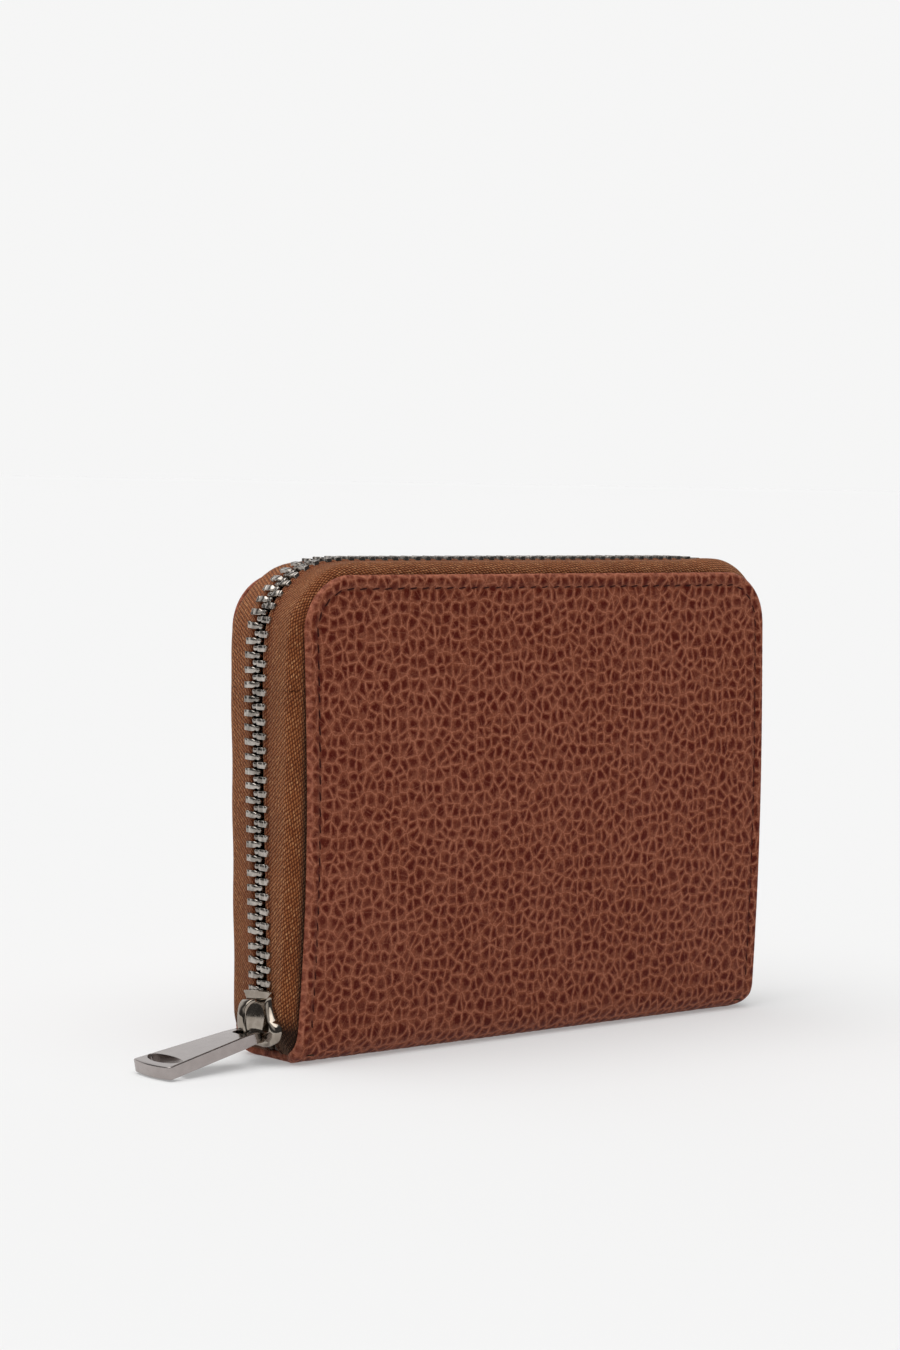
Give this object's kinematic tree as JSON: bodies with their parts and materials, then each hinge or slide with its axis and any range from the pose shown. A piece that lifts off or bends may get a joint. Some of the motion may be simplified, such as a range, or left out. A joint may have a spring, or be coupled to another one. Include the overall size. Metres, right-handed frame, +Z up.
{
  "type": "zip-around wallet",
  "caption": "Compact zip-around leather wallet standing on its spine, with hinged covers, metal chain zip, card slots, note compartments and a zipped coin pocket.",
  "frame": {"origin": "centre of the spine's flat underside", "axes": "+X along the wallet to its right, +Y from the front cover to the back cover, +Z up"},
  "size_m": [0.1527, 0.0224, 0.0941],
  "materials": {
    "leather": "pebbled, satin",
    "board": "plain stiffener",
    "lining": "fine weave",
    "tape": "twill weave",
    "teeth": "gunmetal nickel",
    "slider": "polished nickel",
    "pull": "satin nickel",
    "coil": "nylon coil"
  },
  "bodies": {
    "spine": {"spine_leather": "leather", "spine_board": "board", "spine_lining": "lining", "bottom_stop": "teeth", "coin_pocket": "lining", "coin_tape_front": "tape", "coin_tape_back": "tape", "coin_coil_front": "coil", "coin_coil_back": "coil"},
    "front_cover": {"front_leather": "leather", "front_board": "board", "front_lining": "lining", "front_card_slot_1": "lining", "front_card_slot_2": "lining", "front_card_slot_3": "lining", "front_zip_tape": "tape", "front_teeth_lower": "teeth", "front_teeth_upper": "teeth", "front_top_stop": "teeth", "front_left_gusset": "lining", "front_right_gusset": "lining"},
    "back_cover": {"back_leather": "leather", "back_board": "board", "back_lining": "lining", "back_card_slot_1": "lining", "back_card_slot_2": "lining", "back_card_slot_3": "lining", "back_zip_tape": "tape", "back_teeth_lower": "teeth", "back_teeth_upper": "teeth", "back_top_stop": "teeth", "back_left_gusset": "lining", "back_right_gusset": "lining"},
    "slider": {"slider_body": "slider", "slider_bridge": "slider"},
    "pull": {"pull_tab": "pull"},
    "coin_slider": {"coin_slider_body": "slider"},
    "coin_pull": {"coin_pull": "pull"}
  },
  "joints": [
    {"name": "front_cover_hinge", "type": "hinge", "parent": "spine", "child": "front_cover", "pos_m": [0, -0.0112, 0.00515], "axis": [1, 0, 0], "range_deg": [0, 40], "deforming": ["front_teeth_lower", "front_teeth_upper", "front_left_gusset", "front_right_gusset"]},
    {"name": "back_cover_hinge", "type": "hinge", "parent": "spine", "child": "back_cover", "pos_m": [0, 0.0112, 0.00515], "axis": [-1, 0, 0], "range_deg": [0, 40], "deforming": ["back_teeth_lower", "back_teeth_upper", "back_left_gusset", "back_right_gusset"]},
    {"name": "zip_slide", "type": "slide", "parent": "back_cover", "child": "slider", "axis": [0, 0.036, 0.9994], "range_m": [0, 0.055], "deforming": ["front_teeth_lower", "back_teeth_lower"]},
    {"name": "pull_hinge", "type": "hinge", "parent": "slider", "child": "pull", "pos_m": [-0.0655, -0.002, 0.0057], "axis": [0, 1, 0], "range_deg": [-55, 40]},
    {"name": "coin_slide", "type": "slide", "parent": "spine", "child": "coin_slider", "axis": [1, 0, 0], "range_m": [0, 0.088]},
    {"name": "coin_pull_hinge", "type": "hinge", "parent": "coin_slider", "child": "coin_pull", "pos_m": [-0.0445, 0, 0.0769], "axis": [0, -1, 0], "range_deg": [0, 90]}
  ]
}
